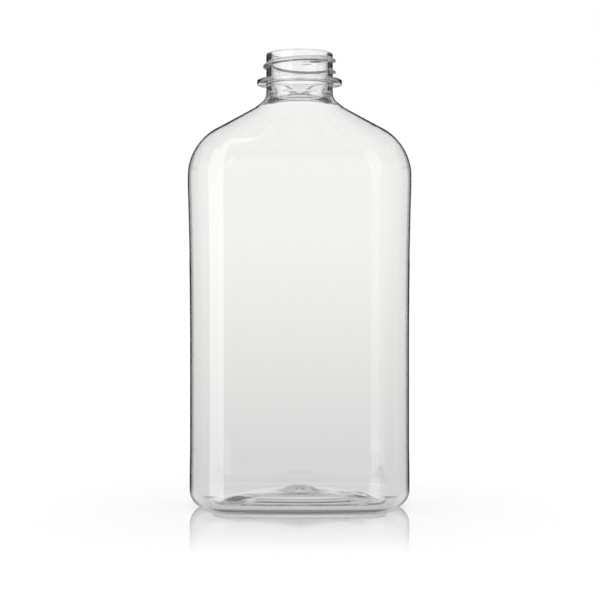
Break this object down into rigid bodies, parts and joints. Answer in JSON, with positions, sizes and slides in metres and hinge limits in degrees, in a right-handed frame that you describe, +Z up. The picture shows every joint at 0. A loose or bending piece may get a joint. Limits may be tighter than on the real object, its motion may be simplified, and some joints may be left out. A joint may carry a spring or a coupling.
{
  "type": "plastic bottle",
  "caption": "Clear oblong blow-moulded bottle with a sloping shoulder, a support ring and a continuous-thread neck, open at the mouth, on a pushed-up base.",
  "frame": {"origin": "centre of the standing band, on the surface that the bottle stands on", "axes": "+Z up along the neck's axis, X across the broad faces, -Y out of the broad front face"},
  "size_m": [0.0838, 0.0508, 0.1692],
  "materials": {
    "clear_plastic": "clear, glossy, colourless stretch-blown polyester"
  },
  "bodies": {
    "root": {"bottle": "clear_plastic"}
  },
  "joints": []
}
